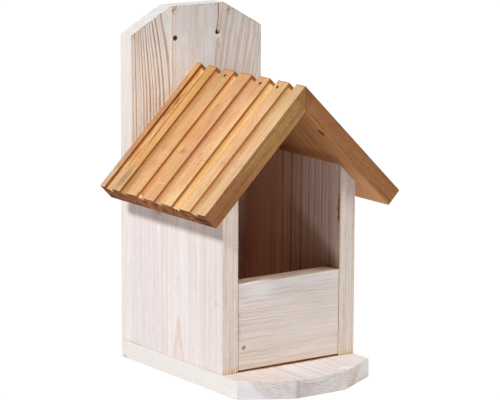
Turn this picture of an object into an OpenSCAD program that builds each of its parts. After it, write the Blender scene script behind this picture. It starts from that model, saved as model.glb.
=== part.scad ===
// Squirrel house: a small open-fronted wooden house on a base board, with a tall back board
// that has two hanging holes, and a mitred roof of two grooved boards.
// The front faces -Y and +Z is up. The origin is the centre of the footprint, on the floor.

/* [Boards] */
// Thickness of every board
board_t = 18; // [16:0.5:21]
// Width of the base, of the back board, and of the house over its side walls
body_w = 152; // [140:1:180]

/* [Base] */
// Depth of the base board, from its rear end to its front end
base_d = 224; // [215:1:260]
// Width of the cut across each front corner of the base
base_cut_w = 48; // [20:1:60]
// Depth of the cut across each front corner of the base
base_cut_d = 27; // [10:1:32]

/* [Back board] */
// Height of the back board above the base
back_h = 323.5; // [300:0.5:380]
// Width of the cut across each top corner of the back board
back_cut_w = 44.5; // [20:0.5:60]
// Height of the cut across each top corner of the back board
back_cut_h = 25; // [10:0.5:35]
// Diameter of the hanging holes
hang_d = 5; // [3:0.1:7]
// Distance of the left hanging hole from the middle
hang_left_x = 25; // [15:0.5:29]
// Distance of the right hanging hole from the middle
hang_right_x = 24; // [15:0.5:29]
// Depth of the left hanging hole below the top edge
hang_left_drop = 31; // [15:0.5:40]
// Depth of the right hanging hole below the top edge
hang_right_drop = 28.5; // [15:0.5:40]

/* [Walls] */
// Depth of the side walls, from the back board to their front edges
wall_d = 155; // [120:1:160]
// Height of the outer face of the side walls above the base
wall_h = 167; // [150:1:185]
// Height of the front board
front_h = 82.5; // [60:0.5:110]
// Gap under the front board
front_gap = 1.5; // [0.5:0.1:4]
// How far the front board lies behind the walls' front edges
front_recess = 0.3; // [0.1:0.1:2]

/* [Roof] */
// Slope of both roof boards, in degrees
roof_pitch = 44.5; // [35:0.5:50]
// Depth of the roof boards, from the back board to the front
roof_d = 177.5; // [170:0.5:200]
// Length of a roof board's upper face, from the ridge to the eave
roof_l = 155.5; // [140:0.5:180]
// Depth of the grooves in the roof boards at their rear flank
groove_rear_depth = 1.8; // [0.5:0.1:3]
// Depth of the grooves at their front flank, where they are deepest
groove_front_depth = 4.8; // [3:0.1:6]
// Slope of the rear flank, as the width that it takes
groove_rear_lean = 0.3; // [0.1:0.1:2]
// Slope of the front flank, as the width that it takes
groove_front_lean = 2.5; // [0.1:0.1:4]
// Where each groove starts, measured from the roof boards' front edge
groove_starts = [13.5, 42.5, 73, 103, 131.5, 157];
// Width of each groove at the surface
groove_widths = [12, 13, 12, 10.5, 12, 12.5];

/* [Screws] */
// Shank diameter of the screws
screw_d = 3.5; // [2.5:0.1:4.5]
// Head diameter of the screws
screw_head_d = 7; // [5:0.1:9]
// Length of the screws
screw_l = 45; // [35:1:60]
// Distance of the wall screws in the base from the walls' front and rear edges
base_screw_inset = 32; // [30:1:45]
// Distance of the two screws under the back board from the middle
base_screw_x = 38; // [20:1:50]
// Heights above the base of the screws through the back board
back_screw_heights = [35, 125];

/* [Nails] */
// Shank diameter of the nails
nail_d = 1.8; // [1.2:0.1:2.4]
// Head diameter of the nails
nail_head_d = 3.4; // [2.6:0.1:4]
// Thickness of the nails' heads
nail_head_t = 1; // [0.6:0.1:1.5]
// Length of the nails
nail_l = 35; // [25:1:40]
// Distance of the ridge nails from the ridge, along the slope
ridge_nail_drop = 7.6; // [6:0.1:9]
// Distance of each ridge nail from the back board
ridge_nail_distances = [55.5, 113.5, 141];
// Distances from the middle of the nails through the back board into each roof board
roof_nail_xs = [24, 60];
// Heights above the base of the nails through the left wall into the front board
left_nail_heights = [66];
// Heights above the base of the nails through the right wall into the front board
right_nail_heights = [16, 66];
// Distance of the slanted front nail from the front board's left end
front_nail_inset = 6.5; // [4:0.5:9]
// Height of the slanted front nail above the base
front_nail_height = 23; // [20:0.5:60]
// Slant of the front nail towards the left wall, in degrees
front_nail_slant = 35; // [25:1:45]

/* [Fit of screws and nails] */
// How far screw and nail heads are set below the surface
head_set = 0.4; // [0.1:0.1:2]
// How far the ridge nails are driven below the surface
ridge_nail_set = 1.2; // [0.5:0.1:3]
// Clearance between a fastener and its hole
fastener_gap = 0.05; // [0.02:0.01:0.2]

/* [Hidden] */
$fn = 48;
spruce = [0.90, 0.87, 0.83];
larch = [0.82, 0.56, 0.33];
steel = [0.55, 0.55, 0.56];
past = 1;
screw_rim = 0.5;
tip_share = 1.5;

half_w = body_w / 2;
half_in = half_w - board_t;
wall_mid_x = half_w - board_t / 2;
base_top = board_t;
back_y = base_d / 2;
house_y = back_y - board_t;
wall_front_y = house_y - wall_d;
front_face_y = wall_front_y + front_recess;
roof_front_y = house_y - roof_d;
top_z = base_top + back_h;

pitch_rise = tan(roof_pitch);
wall_top_z = base_top + wall_h;
apex_z = wall_top_z + half_w * pitch_rise;
roof_rise_t = board_t / cos(roof_pitch);
ridge_z = apex_z + roof_rise_t;
mitre_l = board_t * pitch_rise;
soffit_l = roof_l - mitre_l;
eave_top_x = roof_l * cos(roof_pitch);
eave_top_z = ridge_z - roof_l * sin(roof_pitch);
eave_low_x = soffit_l * cos(roof_pitch);
eave_low_z = apex_z - soffit_l * sin(roof_pitch);

// Where each fastener's head meets the surface, and the turn that points +Z into the wood
base_screw_spots = concat(
    [for (x = [-wall_mid_x, wall_mid_x], y = [wall_front_y + base_screw_inset, house_y - base_screw_inset])
        [[x, y, 0], [0, 0, 0]]],
    [for (x = [-base_screw_x, base_screw_x]) [[x, back_y - board_t / 2, 0], [0, 0, 0]]]
);
back_screw_spots = [for (x = [-wall_mid_x, wall_mid_x], h = back_screw_heights)
    [[x, back_y, base_top + h], [90, 0, 0]]];
roof_nail_spots = [for (side = [-1, 1], x = roof_nail_xs)
    [[side * x, back_y, apex_z - x * pitch_rise + roof_rise_t / 2], [90, 0, 0]]];
ridge_nail_x = ridge_nail_drop * cos(roof_pitch);
ridge_nail_z = ridge_z - ridge_nail_drop * sin(roof_pitch);
ridge_nail_spots = [for (d = ridge_nail_distances)
    [[-ridge_nail_x, house_y - d, ridge_nail_z], [0, 180 - roof_pitch, 0]]];
wall_nail_places = concat([for (h = left_nail_heights) [-1, h]], [for (h = right_nail_heights) [1, h]]);
wall_nail_spots = [for (place = wall_nail_places)
    [[place[0] * half_w, front_face_y + board_t / 2, base_top + place[1]], [0, -place[0] * 90, 0]]];
front_nail_spot = [[front_nail_inset - half_in, front_face_y, base_top + front_nail_height],
    [-90, 0, front_nail_slant]];

function numbered(name, count) = [for (i = [1 : count]) str(name, "_", i)];

// Places its children with their origin at a fastener's spot
module at(spot) {
    translate(spot[0]) rotate(spot[1]) children();
}

// A screw driven along +Z, set below the surface at Z = 0; grow widens it into its own hole
module screw(grow = 0) {
    top_z = grow > 0 ? -past : head_set;
    head_r = screw_head_d / 2 + grow;
    shank_r = screw_d / 2 + grow;
    rim_z = head_set + screw_rim;
    end_z = head_set + screw_l + grow;
    rotate_extrude() polygon([
        [0, top_z],
        [head_r, top_z],
        [head_r, rim_z],
        [shank_r, rim_z + head_r - shank_r],
        [shank_r, end_z - tip_share * screw_d],
        [0, end_z]
    ]);
}

// A nail driven along +Z, the same way
module nail(set_in = head_set, grow = 0) {
    top_z = grow > 0 ? -past : set_in;
    head_r = nail_head_d / 2 + grow;
    shank_r = nail_d / 2 + grow;
    neck_z = set_in + nail_head_t;
    end_z = set_in + nail_l + grow;
    rotate_extrude() polygon([
        [0, top_z],
        [head_r, top_z],
        [head_r, neck_z],
        [shank_r, neck_z],
        [shank_r, end_z - tip_share * nail_d],
        [0, end_z]
    ]);
}

// Every screw and nail hole, taken out of each board that it meets
module fastener_holes() {
    for (spot = concat(base_screw_spots, back_screw_spots)) {
        at(spot) screw(grow = fastener_gap);
    }
    for (spot = concat(roof_nail_spots, wall_nail_spots, [front_nail_spot])) {
        at(spot) nail(grow = fastener_gap);
    }
    for (spot = ridge_nail_spots) {
        at(spot) nail(set_in = ridge_nail_set, grow = fastener_gap);
    }
}

module drilled() {
    difference() {
        children();
        fastener_holes();
    }
}

// Stands an outline drawn in X and Z up, and gives it a depth towards the front
module upright(depth, rear_y) {
    translate([0, rear_y, 0]) rotate([90, 0, 0]) linear_extrude(depth) children();
}

module on_side(side) {
    mirror([side < 0 ? 1 : 0, 0, 0]) children();
}

module base_board() {
    front_y = -base_d / 2;
    color(spruce) drilled() linear_extrude(board_t) polygon([
        [-half_w, back_y],
        [-half_w, front_y + base_cut_d],
        [base_cut_w - half_w, front_y],
        [half_w - base_cut_w, front_y],
        [half_w, front_y + base_cut_d],
        [half_w, back_y]
    ]);
}

module hanging_hole(x, drop) {
    translate([x, back_y + past, top_z - drop]) rotate([90, 0, 0]) cylinder(h = board_t + 2 * past, d = hang_d);
}

module back_board() {
    color(spruce) difference() {
        drilled() upright(board_t, back_y) polygon([
            [-half_w, base_top],
            [half_w, base_top],
            [half_w, top_z - back_cut_h],
            [half_w - back_cut_w, top_z],
            [back_cut_w - half_w, top_z],
            [-half_w, top_z - back_cut_h]
        ]);
        hanging_hole(-hang_left_x, hang_left_drop);
        hanging_hole(hang_right_x, hang_right_drop);
    }
}

module wall(side) {
    color(spruce) drilled() on_side(side) upright(wall_d, house_y) polygon([
        [half_in, base_top],
        [half_w, base_top],
        [half_w, wall_top_z],
        [half_in, wall_top_z + board_t * pitch_rise]
    ]);
}

module front_board() {
    color(spruce) drilled() translate([-half_in, front_face_y, base_top + front_gap])
        cube([2 * half_in, board_t, front_h]);
}

// One groove's cutter, in the roof board's own frame: X down the slope from the ridge,
// Y towards the rear and Z out of the upper face
module groove(start, width) {
    translate([-mitre_l, roof_front_y + start, 0]) rotate([90, 0, 90])
        linear_extrude(roof_l + 2 * mitre_l) polygon([
            [groove_front_lean, -groove_front_depth],
            [width - groove_rear_lean, -groove_rear_depth],
            [width, 0],
            [width, past],
            [0, past],
            [0, 0]
        ]);
}

module roof_board(side) {
    color(larch) drilled() on_side(side) difference() {
        upright(roof_d, house_y) polygon([
            [0, apex_z],
            [0, ridge_z],
            [eave_top_x, eave_top_z],
            [eave_low_x, eave_low_z]
        ]);
        translate([0, 0, ridge_z]) rotate([0, roof_pitch, 0])
            for (i = [0 : len(groove_starts) - 1]) groove(groove_starts[i], groove_widths[i]);
    }
}

base_board();
back_board();
wall(-1);  // left_wall
wall(1);  // right_wall
front_board();
roof_board(-1);  // left_roof
roof_board(1);  // right_roof
for (i = [0 : len(base_screw_spots) - 1])
    color(steel) at(base_screw_spots[i]) screw();
for (i = [0 : len(back_screw_spots) - 1])
    color(steel) at(back_screw_spots[i]) screw();
for (i = [0 : len(roof_nail_spots) - 1])
    color(steel) at(roof_nail_spots[i]) nail();
for (i = [0 : len(ridge_nail_spots) - 1])
    color(steel) at(ridge_nail_spots[i]) nail(set_in = ridge_nail_set);
for (i = [0 : len(wall_nail_spots) - 1])
    color(steel) at(wall_nail_spots[i]) nail();
color(steel) at(front_nail_spot) nail();  // front_nail
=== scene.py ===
from math import cos, radians, sin

import bmesh
import bpy
from mathutils import Matrix, Vector


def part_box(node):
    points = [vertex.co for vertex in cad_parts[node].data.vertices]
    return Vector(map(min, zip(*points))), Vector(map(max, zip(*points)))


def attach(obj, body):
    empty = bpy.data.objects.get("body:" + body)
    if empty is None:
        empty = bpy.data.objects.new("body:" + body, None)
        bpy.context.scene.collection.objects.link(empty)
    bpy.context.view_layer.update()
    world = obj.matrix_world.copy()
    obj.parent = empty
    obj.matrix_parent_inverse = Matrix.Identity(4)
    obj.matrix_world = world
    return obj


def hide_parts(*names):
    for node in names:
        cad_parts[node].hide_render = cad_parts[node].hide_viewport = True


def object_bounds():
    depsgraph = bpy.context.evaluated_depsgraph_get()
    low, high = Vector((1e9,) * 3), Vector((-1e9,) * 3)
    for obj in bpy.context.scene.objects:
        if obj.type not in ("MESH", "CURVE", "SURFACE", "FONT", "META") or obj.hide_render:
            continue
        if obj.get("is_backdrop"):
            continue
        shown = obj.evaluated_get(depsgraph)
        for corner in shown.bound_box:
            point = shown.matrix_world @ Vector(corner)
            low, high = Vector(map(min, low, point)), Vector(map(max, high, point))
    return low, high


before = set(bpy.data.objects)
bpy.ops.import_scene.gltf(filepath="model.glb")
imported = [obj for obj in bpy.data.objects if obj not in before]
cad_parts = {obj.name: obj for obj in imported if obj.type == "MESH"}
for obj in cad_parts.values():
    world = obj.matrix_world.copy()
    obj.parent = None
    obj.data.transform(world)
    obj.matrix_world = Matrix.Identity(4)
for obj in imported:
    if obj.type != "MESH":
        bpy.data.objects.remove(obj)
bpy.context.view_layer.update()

# Looks of the squirrel house: five boards of white-stained spruce, a roof of two bare, grooved
# larch boards, and the steel screws and nails that hold them. Metres; the front faces -Y.

MM = 0.001


# ---- Camera, light and floor -------------------------------------------------------------------

CAMERA_PLACE = Vector((-1.49875, -2.13027, 0.67887))
CAMERA_AZIMUTH = -35.08
CAMERA_ELEVATION = 11.16
CAMERA_ROLL = 0.26
CAMERA_LENS = 202.07
CAMERA_SENSOR = 36
FLOOR_RADIUS = 14
FLOOR_SHADE = (0.9, 0.9, 0.9, 1)
WHITE = (1, 1, 1, 1)
BACKDROP = 1.02
ROOM_GLOW = 0.065
ROOM_TINT = (0.92, 0.84, 1, 1)
# Name, azimuth, elevation, strength, how wide the lamp looks in degrees, and tint
LAMPS = (
    ("key", -80, 40, 2.52, 10, (0.975, 1, 1)),
    ("fill", 30, 35, 1.24, 40, (1, 0.945, 0.89)),
    ("back_fill", 170, 30, 0.5, 60, (1, 1, 1)),
    ("side_fill", 125, 12, 0.8, 40, (1, 1, 1)),
)


def facing(azimuth, elevation, roll=0):
    """The turn of a camera or lamp that stands at that azimuth and elevation and looks at the house."""
    return (
        Matrix.Rotation(radians(azimuth), 4, "Z")
        @ Matrix.Rotation(radians(90 - elevation), 4, "X")
        @ Matrix.Rotation(radians(roll), 4, "Z")
    )


def put_in_scene(name, data):
    made = bpy.data.objects.new(name, data)
    bpy.context.scene.collection.objects.link(made)
    return made


def make_camera():
    data = bpy.data.cameras.new("camera")
    data.lens = CAMERA_LENS
    data.sensor_width = CAMERA_SENSOR
    camera = put_in_scene("camera", data)
    turn = facing(CAMERA_AZIMUTH, CAMERA_ELEVATION, CAMERA_ROLL)
    camera.matrix_world = Matrix.Translation(CAMERA_PLACE) @ turn
    bpy.context.scene.camera = camera


def soft_lamp(name, azimuth, elevation, strength, spread, tint):
    """Even studio light from one side."""
    data = bpy.data.lights.new(name, "SUN")
    data.energy = strength
    data.angle = radians(spread)
    data.color = tint
    put_in_scene(name, data).matrix_world = facing(azimuth, elevation)


def make_studio():
    world = bpy.data.worlds.new("studio")
    bpy.context.scene.world = world
    world.use_nodes = True
    world.node_tree.nodes.clear()
    sky = Nodes(world.node_tree)
    room = sky.add("Background", {"Color": ROOM_TINT, "Strength": ROOM_GLOW}).outputs[0]
    backdrop = sky.add("Background", {"Color": WHITE, "Strength": BACKDROP}).outputs[0]
    sky.add("OutputWorld", {0: sky.in_camera(room, backdrop)})
    for lamp in LAMPS:
        soft_lamp(*lamp)

    bm = bmesh.new()
    bmesh.ops.create_circle(bm, cap_ends=True, segments=64, radius=FLOOR_RADIUS)
    mesh = bpy.data.meshes.new("floor")
    bm.to_mesh(mesh)
    bm.free()
    floor = put_in_scene("floor", mesh)
    material = bpy.data.materials.new("pale_floor")
    material.use_nodes = True
    material.node_tree.nodes.clear()
    ground = Nodes(material.node_tree)
    matt = ground.add("BsdfDiffuse", {0: FLOOR_SHADE}).outputs[0]
    lit = ground.add("Emission", {"Color": WHITE, "Strength": BACKDROP}).outputs[0]
    ground.add("OutputMaterial", {0: ground.in_camera(matt, lit)})
    floor.data.materials.append(material)
    floor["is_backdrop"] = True
    bpy.context.scene.view_settings.view_transform = "Standard"


# ---- Shader nodes ------------------------------------------------------------------------------

class Nodes:
    """Sums in a tree of shader nodes. A value is a number or a socket, and a mask runs from 0 to 1."""

    def __init__(self, tree):
        self.tree = tree

    def add(self, kind, inputs=(), **settings):
        """Adds a shader node with these settings; a socket given as an input is linked."""
        made = self.tree.nodes.new("ShaderNode" + kind)
        for name, value in settings.items():
            setattr(made, name, value)
        for key, value in dict(inputs).items():
            if isinstance(value, bpy.types.NodeSocket):
                self.tree.links.new(value, made.inputs[key])
            else:
                made.inputs[key].default_value = value
        return made

    def in_camera(self, unseen, seen):
        """One shader for the light that a surface gives, and another for how the camera sees it."""
        ray = self.add("LightPath").outputs["Is Camera Ray"]
        return self.add("MixShader", {0: ray, 1: unseen, 2: seen}).outputs[0]

    def maths(self, operation, *values):
        return self.add("Math", enumerate(values), operation=operation).outputs[0]

    def vector(self, operation, *values):
        made = self.add("VectorMath", enumerate(values), operation=operation)
        return made.outputs["Value" if operation in ("LENGTH", "DOT_PRODUCT") else "Vector"]

    def at(self, x, y=0, z=0):
        return self.add("CombineXYZ", enumerate((x, y, z))).outputs[0]

    def apart(self, point):
        return self.add("SeparateXYZ", {0: point}).outputs

    def abs(self, value):
        return self.maths("ABSOLUTE", value)

    def less(self, value, taken):
        return self.maths("SUBTRACT", value, taken)

    def wave(self, value, pace):
        """Swings between -1 and 1 as the value grows."""
        return self.maths("SINE", self.times(value, pace))

    def off(self, mask):
        return self.less(1, mask)

    def either(self, mask, other):
        return self.maths("MAXIMUM", mask, other)

    def scaled(self, value, by, plus):
        """The value times by, plus the last."""
        return self.maths("MULTIPLY_ADD", value, by, plus)

    def times(self, *masks):
        total = masks[0]
        for mask in masks[1:]:
            total = self.maths("MULTIPLY", total, mask)
        return total

    def rise(self, value, low, high, start=0):
        """A soft step from start, at low, to the other end of 0 to 1, at high."""
        return self.add("MapRange", {"Value": value, "From Min": low, "From Max": high, "To Min": start,
                                     "To Max": 1 - start}, interpolation_type="SMOOTHSTEP").outputs[0]

    def fall(self, value, low, high):
        return self.rise(value, low, high, 1)

    def window(self, value, low, high, soft):
        """1 between low and high, with soft ends."""
        begun = self.rise(value, low - soft, low + soft)
        return self.times(begun, self.fall(value, high - soft, high + soft))

    def noise(self, scale, seed, detail=2, rough=0.5, point=None):
        """A noise with this many waves for each millimetre along X, Y and Z."""
        spread = self.vector("MULTIPLY", point or self.point, scale)
        return self.add("TexNoise", {"Vector": spread, "W": seed, "Scale": 1, "Detail": detail,
                                     "Roughness": rough}, noise_dimensions="4D").outputs["Fac"]

    def patches(self, low, high, *noise):
        """1 where the noise is above high, and 0 where it is below low."""
        return self.rise(self.noise(*noise), low, high)


class Group(Nodes):
    """A shared node group that starts from a point and gives plain values."""

    def __init__(self, name, **inputs):
        super().__init__(bpy.data.node_groups.new(name, "ShaderNodeTree"))
        for label, value in dict(Point=(0, 0, 0), **inputs).items():
            kind = "NodeSocketVector" if isinstance(value, tuple) else "NodeSocketFloat"
            self.tree.interface.new_socket(label, in_out="INPUT", socket_type=kind).default_value = value
        self.given = self.tree.nodes.new("NodeGroupInput").outputs
        self.point = self.given["Point"]

    def give(self, **values):
        for label in values:
            self.tree.interface.new_socket(label, in_out="OUTPUT", socket_type="NodeSocketFloat")
        result = self.tree.nodes.new("NodeGroupOutput").inputs
        for label, value in values.items():
            self.tree.links.new(value, result[label])
        return self.tree


def make_growth_rings():
    """Growth rings round a heart line along Z: the dark late wood, and the distance from the heart."""
    g = Group("growth_rings", Spacing=3, Wander=1, Sharpness=3, Seed=0)
    seed = g.given["Seed"]
    slow = g.noise((0.03, 0.03, 0.006), seed)
    quick = g.noise((0.12, 0.12, 0.035), seed)
    sway = g.scaled(quick, 0.3, g.maths("ADD", slow, -0.65))
    radius = g.scaled(sway, g.given["Wander"], g.vector("LENGTH", g.vector("MULTIPLY", g.point, (1, 1, 0))))
    count = g.maths("DIVIDE", radius, g.given["Spacing"])
    uneven = g.add("TexNoise", {"W": g.scaled(count, 0.37, seed), "Scale": 1, "Detail": 1},
                   noise_dimensions="1D").outputs["Fac"]
    count = g.scaled(uneven, 2.2, count)
    part = g.maths("FRACT", count)
    ring = g.add("TexWhiteNoise", {"W": g.maths("ADD", g.maths("FLOOR", count), seed)},
                 noise_dimensions="1D").outputs["Value"]
    swelling = g.maths("POWER", part, g.given["Sharpness"])
    late = g.times(swelling, g.fall(part, 0.9, 1.0), g.scaled(ring, 1, 0.6))
    return g.give(Latewood=late, Radius=radius)


def make_fibres():
    """Fine fibres and broad streaks along Z, and resin flecks."""
    g = Group("fibres", Seed=0)
    seed = g.given["Seed"]
    fine = g.noise((1.7, 1.7, 0.05), seed, 3, 0.6)
    broad = g.noise((0.16, 0.16, 0.006), seed, 3, 0.55)
    flecks = g.patches(0.66, 0.76, (1.1, 1.1, 0.16), seed, 1, 0.4)
    return g.give(Fine=fine, Broad=broad, Flecks=flecks)


def make_blot():
    """A mark with a ragged soft rim: Size is its half widths and Soft how much of it fades."""
    g = Group("blot", Centre=(0, 0, 0), Size=(5, 5, 5), Soft=0.5, Ragged=0.3, Seed=0)
    away = g.vector("SUBTRACT", g.point, g.given["Centre"])
    reach = g.vector("LENGTH", g.vector("DIVIDE", away, g.given["Size"]))
    rough = g.less(g.noise((0.45, 0.45, 0.45), g.given["Seed"], 3, 0.6), 0.5)
    return g.give(Mask=g.fall(g.scaled(rough, g.given["Ragged"], reach), g.off(g.given["Soft"]), 1))


def make_arris():
    """How near a point on a squared board is to its edges; Low and High are the board's corners."""
    g = Group("arris", Low=(0, 0, 0), High=(1, 1, 1), Width=1.5, Ragged=1, Seed=0)
    x, y, z = g.apart(g.vector("MINIMUM", g.vector("SUBTRACT", g.point, g.given["Low"]),
                               g.vector("SUBTRACT", g.given["High"], g.point)))
    middle = g.either(g.maths("MINIMUM", x, y), g.maths("MINIMUM", g.either(x, y), z))
    rough = g.less(g.noise((0.25, 0.25, 0.25), g.given["Seed"], 3, 0.6), 0.5)
    gap = g.maths("DIVIDE", g.scaled(rough, g.given["Ragged"], middle), g.given["Width"])
    return g.give(Mask=g.off(g.rise(gap, 0.2, 1)))


FRONT, BACK, LEFT, RIGHT, UP, DOWN = (0, -1, 0), (0, 1, 0), (-1, 0, 0), (1, 0, 0), (0, 0, 1), (0, 0, -1)


class Finish(Nodes):
    """A finish built up in layers over a plain colour. Points are in millimetres."""

    def __init__(self, name, colour, rough, shine=0.2):
        self.material = bpy.data.materials.new(name)
        self.material.use_nodes = True
        super().__init__(self.material.node_tree)
        self.shader = self.tree.nodes["Principled BSDF"]
        self.shader.inputs["Specular IOR Level"].default_value = shine
        self.metres = self.add("TexCoord").outputs["Object"]
        # Noises and spots are laid out by this point, in millimetres, unless a finish gives its own
        self.point = self.vector("MULTIPLY", self.metres, (1 / MM, 1 / MM, 1 / MM))
        self.x, self.y, self.z = self.apart(self.point)
        self.normal = self.add("NewGeometry").outputs["Normal"]
        self.colour = (*colour, 1)
        self.rough = rough
        self.heights = []

    def towards(self, direction):
        """1 on the faces that look this way."""
        return self.rise(self.vector("DOT_PRODUCT", self.normal, Vector(direction).normalized()), 0.55, 0.85)

    def use(self, group, **values):
        made = self.add("Group", node_tree=GROUPS[group])
        for label, value in {"Point": self.point, **values}.items():
            if isinstance(value, bpy.types.NodeSocket):
                self.tree.links.new(value, made.inputs[label])
            else:
                made.inputs[label].default_value = value
        return made.outputs

    def along(self, heart, direction):
        """Millimetres from a point on the heart line, with Z along the grain."""
        turn = Vector(direction).to_track_quat("Z", "Y").to_euler()
        return self.add("Mapping", {0: self.metres, "Location": Vector(heart) * MM, "Rotation": turn,
                                    "Scale": (MM, MM, MM)}, vector_type="TEXTURE").outputs[0]

    def lay(self, colour, *masks, blend="MIX"):
        """Covers the finish with a colour where all the masks are 1."""
        full = (*colour, 1) if isinstance(colour, tuple) else colour
        made = self.add("Mix", {0: self.times(*masks), 6: self.colour, 7: full},
                        data_type="RGBA", blend_type=blend)
        self.colour = made.outputs[2]

    def tint(self, colour, *masks):
        """Multiplies the finish by a colour where all the masks are 1."""
        self.lay(colour, *masks, blend="MULTIPLY")

    def blot(self, colour, centre, size, soft, ragged, seed, strength=1, blend="MIX"):
        """Covers a ragged spot; size is its half widths and soft the part of it that fades."""
        spot = self.use("blot", Centre=centre, Size=size, Soft=soft, Ragged=ragged, Seed=seed)
        self.lay(colour, spot["Mask"], strength, blend=blend)

    def stain(self, *spot):
        """Multiplies the finish by a colour in such a spot."""
        self.blot(*spot, blend="MULTIPLY")

    def swayed(self, value, scale, amount, seed):
        """The value pushed to and fro by a slow noise, up to half the amount each way."""
        return self.scaled(self.less(self.noise(scale, seed), 0.5), amount, value)

    def lines(self, value, *places):
        """Soft lines where the value passes each place; a place is (where, half width, strength)."""
        total = 0
        for where, half, strength in places:
            away = self.abs(self.less(value, where))
            total = self.either(total, self.times(self.fall(away, half * 0.3, half), strength))
        return total

    def raise_by(self, value, height):
        """Adds relief: value 1 stands this many millimetres proud."""
        self.heights.append(self.times(value, height))

    def done(self):
        self.tree.links.new(self.colour, self.shader.inputs["Base Color"])
        if isinstance(self.rough, bpy.types.NodeSocket):
            self.tree.links.new(self.rough, self.shader.inputs["Roughness"])
        else:
            self.shader.inputs["Roughness"].default_value = self.rough
        if self.heights:
            total = self.heights[0]
            for height in self.heights[1:]:
                total = self.maths("ADD", total, height)
            bump = self.add("Bump", {"Strength": 1, "Distance": MM, "Height": total})
            self.tree.links.new(bump.outputs[0], self.shader.inputs["Normal"])
        return self.material


# ---- White-stained spruce ----------------------------------------------------------------------

STAIN = (0.895, 0.834, 0.802)
LATEWOOD = (0.8, 0.66, 0.56)
PINK_LINE = (0.83, 0.69, 0.6)
HEAVY_STAIN = (0.885, 0.872, 0.865)
BARE_WOOD = (0.5, 0.27, 0.12)
SPLINTER_CREAM = (0.86, 0.74, 0.6)
# The torn strip hangs from the top edge, bends and ends as a tongue over the right hanging hole
SPLINTER_TOP = 340
SPLINTER_BEND = 328
SPLINTER_FOOT = 312.6
SPLINTER_X = 24.5
SPLINTER_SWING = 1.9
SPLINTER_WIDE = 1.9
SPLINTER_THICK = 1.2
SPLINTER_STANDS_OFF = 0.3
SPLINTER_ROUNDING = 0.2
SPLINTER_SHARP = radians(60)
SPLINTER_CUTS = 14
# How much of its length narrows to the tip
SPLINTER_TIP = 0.12


def box_mm(node):
    low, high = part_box(node)
    return tuple(round(v / MM, 3) for v in low), tuple(round(v / MM, 3) for v in high)


# Faces that the marks on the boards keep to, in millimetres
(WALL_OUT, WALL_FRONT, BASE_TOP), (_, BACK_FACE, _) = box_mm("left_wall")
(_, BOARD_FRONT, BOARD_FOOT), (ROOM_SIDE, BOARD_REAR, BOARD_TOP) = box_mm("front_board")


def stained(name, node, heart, grain, spacing, wander, seed, sharpness=3):
    """What all the white boards share: stain, fibres, end grain and edges. Each board then gets its own
    growth rings and marks."""
    f = Finish(name, STAIN, 0.7)
    board = f.along(heart, grain)
    f.rings = f.use("growth_rings", Point=board, Spacing=spacing, Wander=wander, Sharpness=sharpness,
                    Seed=seed)
    f.late = f.rings["Latewood"]
    f.fibre = f.use("fibres", Point=board, Seed=seed)
    f.end_grain = f.rise(f.abs(f.vector("DOT_PRODUCT", f.normal, Vector(grain).normalized())), 0.6, 0.8)
    f.tint((0.955, 0.945, 0.94), f.rise(f.fibre["Broad"], 0.42, 0.62))
    f.tint((0.9, 0.84, 0.79), f.fibre["Flecks"], f.off(f.end_grain), 0.3)
    f.tint((0.905, 0.9, 0.895), f.rise(f.fibre["Fine"], 0.48, 0.62))
    low, high = box_mm(node)
    edge = f.use("arris", Low=low, High=high, Width=1.0, Ragged=1.2, Seed=seed)
    f.tint((0.95, 0.89, 0.81), edge["Mask"], 0.5)
    f.raise_by(f.late, 0.05)
    f.raise_by(f.fibre["Fine"], 0.06)
    return f


def foot_stain(f):
    """Yellow resin drawn up from the joint with the base."""
    front = f.towards(FRONT)
    high = f.scaled(front, -20, -5)
    lifted = f.scaled(front, 7, f.z)
    drawn = f.fall(f.scaled(f.noise((0.55, 0.3, 0.015), 2), high, lifted), 14, 16.5)
    f.tint((0.98, 0.89, 0.69), drawn, 0.85)
    teeth = f.rise(f.wave(f.swayed(f.x, (0.3, 0, 0.02), 3, 9), 2.5), -0.3, 0.4)
    soaked = f.times(front, f.fall(f.scaled(f.noise((0.5, 0, 0.02), 12), -9, f.z), 16, 20))
    f.tint((0.82, 0.74, 0.55), soaked, teeth)
    f.tint((1.2, 1.2, 1.13), soaked, f.off(teeth))


def shaded_room_face(f, direction, under_roof=1):
    """Thin stain on a face inside the nest room, with painted shade that makes it darker and browner towards
    the back.
    """
    wide = f.fall(f.abs(f.x), ROOM_SIDE + 0.2, ROOM_SIDE + 0.6)
    inside = f.times(wide, f.window(f.y, WALL_FRONT + 0.5, BACK_FACE + 0.2, 0.2), f.towards(direction),
                     under_roof)
    f.tint((0.95, 0.86, 0.83), inside)
    f.tint((0.96, 0.76, 0.63), inside, f.rise(f.y, -25, 45))
    return inside


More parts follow.
